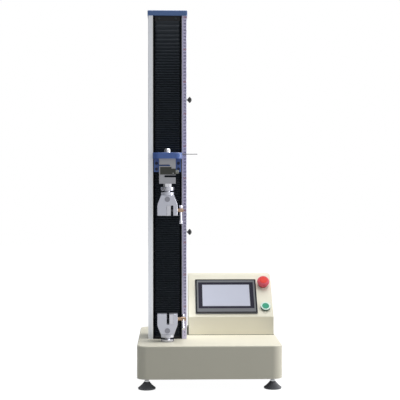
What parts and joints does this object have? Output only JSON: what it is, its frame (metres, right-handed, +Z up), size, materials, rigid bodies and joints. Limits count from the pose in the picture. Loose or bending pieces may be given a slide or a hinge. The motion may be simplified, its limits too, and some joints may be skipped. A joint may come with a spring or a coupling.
{
  "type": "universal testing machine",
  "caption": "Single-column benchtop tension and compression tester with screw-driven crosshead, beam load cell, vice grips and a sloped touch-panel control box.",
  "frame": {"origin": "centre of the base's footprint, on the floor under the levelling feet", "axes": "+Z up along the column, +X to the operator's right, -Y towards the operator"},
  "size_m": [0.436, 0.41, 1.158],
  "materials": {
    "cream_powder_coat": "satin powder coat",
    "black_primed_steel": "matte primer",
    "foot_black": "moulded, matte, on a steel stud",
    "anodised_silver": "satin anodised extrusion",
    "blue_enamel": "semi-gloss enamel",
    "tape_lilac": "laminated tape",
    "ground_steel": "ground and hardened",
    "black_anodised": "black anodised",
    "machined_aluminium": "as machined",
    "bearing_steel": "polished rings",
    "motor_black": "black enamel",
    "belt_black": "neoprene",
    "bellows_black": "coated cloth, folded",
    "zinc_steel": "zinc plated",
    "cell_nickel": "nickel plated, satin",
    "cell_cover_dark": "dark epoxy cover",
    "gland_black": "nylon",
    "pointer_steel": "bright wire",
    "plated_steel": "satin chrome plate",
    "grip_nickel": "satin nickel plate",
    "jaw_steel": "hardened",
    "screw_brass": "turned brass",
    "bar_chrome": "polished",
    "knob_black": "moulded phenolic",
    "bezel_grey": "fine texture",
    "screen_pale": "glossy display, switched off",
    "collar_pale": "moulded",
    "stem_black": "moulded",
    "stop_red": "moulded",
    "bezel_pale": "moulded",
    "start_green": "moulded",
    "inlet_black": "moulded",
    "key_black": "moulded"
  },
  "bodies": {
    "frame": {"base_cover": "cream_powder_coat", "base_bottom_plate": "black_primed_steel", "base_frame": "black_primed_steel", "column_profile": "anodised_silver", "column_cap": "blue_enamel", "scale_tape": "tape_lilac", "guide_rods": "ground_steel", "lower_bearing_block": "black_anodised", "upper_bearing_block": "black_anodised", "screw_bearings": "bearing_steel", "drive_motor": "motor_black", "drive_belt": "belt_black", "frame_fasteners": "zinc_steel", "upper_bellows": "bellows_black", "lower_bellows": "bellows_black", "lower_grip_adapter": "plated_steel", "control_box_housing": "cream_powder_coat", "control_box_rear_panel": "cream_powder_coat", "hmi_housing": "bezel_grey", "hmi_screen": "screen_pale", "estop_collar": "collar_pale", "start_bezel": "bezel_pale", "power_inlet": "inlet_black"},
    "crosshead": {"carriage": "machined_aluminium", "linear_bushings": "bearing_steel", "ball_nut": "ground_steel", "crosshead_arm": "blue_enamel", "scale_pointer": "pointer_steel", "load_cell": "cell_nickel", "load_cell_cover": "cell_cover_dark", "cable_gland": "gland_black", "crosshead_fasteners": "zinc_steel", "upper_grip_adapter": "plated_steel"},
    "drive_screw": {"ball_screw": "ground_steel", "screw_pulley": "machined_aluminium"},
    "rotor": {"motor_rotor": "ground_steel"},
    "levelling_foot_front_left": {"foot_front_left": "foot_black"},
    "levelling_foot_front_right": {"foot_front_right": "foot_black"},
    "levelling_foot_rear_left": {"foot_rear_left": "foot_black"},
    "levelling_foot_rear_right": {"foot_rear_right": "foot_black"},
    "upper_grip": {"upper_grip_body": "grip_nickel", "upper_grip_pin": "grip_nickel"},
    "upper_jaw": {"upper_moving_jaw": "jaw_steel"},
    "upper_clamp_screw": {"upper_jaw_screw": "screw_brass"},
    "upper_bar": {"upper_tommy_bar": "bar_chrome"},
    "upper_ring": {"upper_lock_ring": "plated_steel"},
    "upper_stop": {"upper_stop_nut": "zinc_steel"},
    "upper_stop_clamp": {"upper_stop_knob": "knob_black"},
    "lower_grip": {"lower_grip_body": "grip_nickel", "lower_grip_pin": "grip_nickel"},
    "lower_jaw": {"lower_moving_jaw": "jaw_steel"},
    "lower_clamp_screw": {"lower_jaw_screw": "screw_brass"},
    "lower_bar": {"lower_tommy_bar": "bar_chrome"},
    "lower_ring": {"lower_lock_ring": "plated_steel"},
    "lower_stop": {"lower_stop_nut": "zinc_steel"},
    "lower_stop_clamp": {"lower_stop_knob": "knob_black"},
    "estop_plunger": {"estop_stem": "stem_black"},
    "estop_mushroom": {"estop_head": "stop_red"},
    "start_key": {"start_button": "start_green"},
    "rocker": {"rocker_key": "key_black"}
  },
  "joints": [
    {"name": "ball_screw_turn", "type": "hinge", "parent": "frame", "child": "drive_screw", "pos_m": [-0.127, 0.014, 0.5], "axis": [0, 0, 1], "range_deg": [-9721, 10009]},
    {"name": "crosshead_slide", "type": "slide", "parent": "frame", "child": "crosshead", "axis": [0, 0, 1], "range_m": [-0.278, 0.27], "deforming": ["upper_bellows", "lower_bellows"]},
    {"name": "motor_turn", "type": "hinge", "parent": "frame", "child": "rotor", "pos_m": [-0.032, 0.014, 0.09], "axis": [0, 0, 1], "range_deg": [-19442, 20018]},
    {"name": "foot_front_left_turn", "type": "hinge", "parent": "frame", "child": "levelling_foot_front_left", "pos_m": [-0.189, -0.162, 0.02], "axis": [0, 0, 1], "range_deg": [-1800, 900]},
    {"name": "foot_front_right_turn", "type": "hinge", "parent": "frame", "child": "levelling_foot_front_right", "pos_m": [0.1915, -0.162, 0.02], "axis": [0, 0, 1], "range_deg": [-1800, 900]},
    {"name": "foot_rear_left_turn", "type": "hinge", "parent": "frame", "child": "levelling_foot_rear_left", "pos_m": [-0.189, 0.162, 0.02], "axis": [0, 0, 1], "range_deg": [-1800, 900]},
    {"name": "foot_rear_right_turn", "type": "hinge", "parent": "frame", "child": "levelling_foot_rear_right", "pos_m": [0.1915, 0.162, 0.02], "axis": [0, 0, 1], "range_deg": [-1800, 900]},
    {"name": "upper_grip_swing", "type": "hinge", "parent": "crosshead", "child": "upper_grip", "pos_m": [-0.127, -0.118, 0.5717], "axis": [0, 1, 0], "range_deg": [-3, 3]},
    {"name": "upper_jaw_slide", "type": "slide", "parent": "upper_grip", "child": "upper_jaw", "axis": [1, 0, 0], "range_m": [0, 0.0075]},
    {"name": "upper_jaw_screw_turn", "type": "hinge", "parent": "upper_jaw", "child": "upper_clamp_screw", "pos_m": [-0.127, -0.118, 0.5377], "axis": [1, 0, 0], "range_deg": [0, 1801]},
    {"name": "upper_bar_slide", "type": "slide", "parent": "upper_clamp_screw", "child": "upper_bar", "axis": [0, 0, 1], "range_m": [0, 0.0255]},
    {"name": "upper_lock_ring_turn", "type": "hinge", "parent": "crosshead", "child": "upper_ring", "pos_m": [-0.127, -0.118, 0.6017], "axis": [0, 0, 1], "range_deg": [-600, 0]},
    {"name": "lower_grip_swing", "type": "hinge", "parent": "frame", "child": "lower_grip", "pos_m": [-0.127, -0.118, 0.171], "axis": [0, 1, 0], "range_deg": [-3, 3]},
    {"name": "lower_jaw_slide", "type": "slide", "parent": "lower_grip", "child": "lower_jaw", "axis": [1, 0, 0], "range_m": [-0.0075, 0]},
    {"name": "lower_jaw_screw_turn", "type": "hinge", "parent": "lower_jaw", "child": "lower_clamp_screw", "pos_m": [-0.127, -0.118, 0.205], "axis": [1, 0, 0], "range_deg": [-1801, 0]},
    {"name": "lower_bar_slide", "type": "slide", "parent": "lower_clamp_screw", "child": "lower_bar", "axis": [0, 0.766, 0.6428], "range_m": [0, 0.0255]},
    {"name": "lower_lock_ring_turn", "type": "hinge", "parent": "frame", "child": "lower_ring", "pos_m": [-0.127, -0.118, 0.141], "axis": [0, 0, 1], "range_deg": [0, 600]},
    {"name": "upper_stop_slide", "type": "slide", "parent": "frame", "child": "upper_stop", "axis": [0, 0, 1], "range_m": [-0.12, 0.235]},
    {"name": "upper_stop_knob_turn", "type": "hinge", "parent": "upper_stop", "child": "upper_stop_clamp", "pos_m": [-0.055, -0.04, 0.883], "axis": [1, 0, 0], "range_deg": [0, 540]},
    {"name": "lower_stop_slide", "type": "slide", "parent": "frame", "child": "lower_stop", "axis": [0, 0, 1], "range_m": [-0.13, 0.2]},
    {"name": "lower_stop_knob_turn", "type": "hinge", "parent": "lower_stop", "child": "lower_stop_clamp", "pos_m": [-0.055, -0.04, 0.468], "axis": [1, 0, 0], "range_deg": [0, 540]},
    {"name": "estop_press", "type": "slide", "parent": "frame", "child": "estop_plunger", "axis": [0, 0.733, -0.6802], "range_m": [0, 0.005]},
    {"name": "estop_twist", "type": "hinge", "parent": "estop_plunger", "child": "estop_mushroom", "pos_m": [0.187, 0.08585, 0.29955], "axis": [0, -0.733, 0.6802], "range_deg": [-45, 0], "stiffness_Nm_per_rad": 0.05},
    {"name": "start_press", "type": "slide", "parent": "frame", "child": "start_key", "axis": [0, 0.733, -0.6802], "range_m": [0, 0.003], "stiffness_N_per_m": 600},
    {"name": "power_rocker", "type": "hinge", "parent": "frame", "child": "rocker", "pos_m": [0.165, 0.186, 0.21], "axis": [1, 0, 0], "range_deg": [0, 16]}
  ],
  "couplings": [
    {"joint": "ball_screw_turn", "follows": "crosshead_slide", "rad_per_m": -628.32},
    {"joint": "motor_turn", "follows": "crosshead_slide", "rad_per_m": -1256.6},
    {"joint": "upper_jaw_screw_turn", "follows": "upper_jaw_slide", "rad_per_m": 4188.8},
    {"joint": "lower_jaw_screw_turn", "follows": "lower_jaw_slide", "rad_per_m": 4188.8}
  ]
}
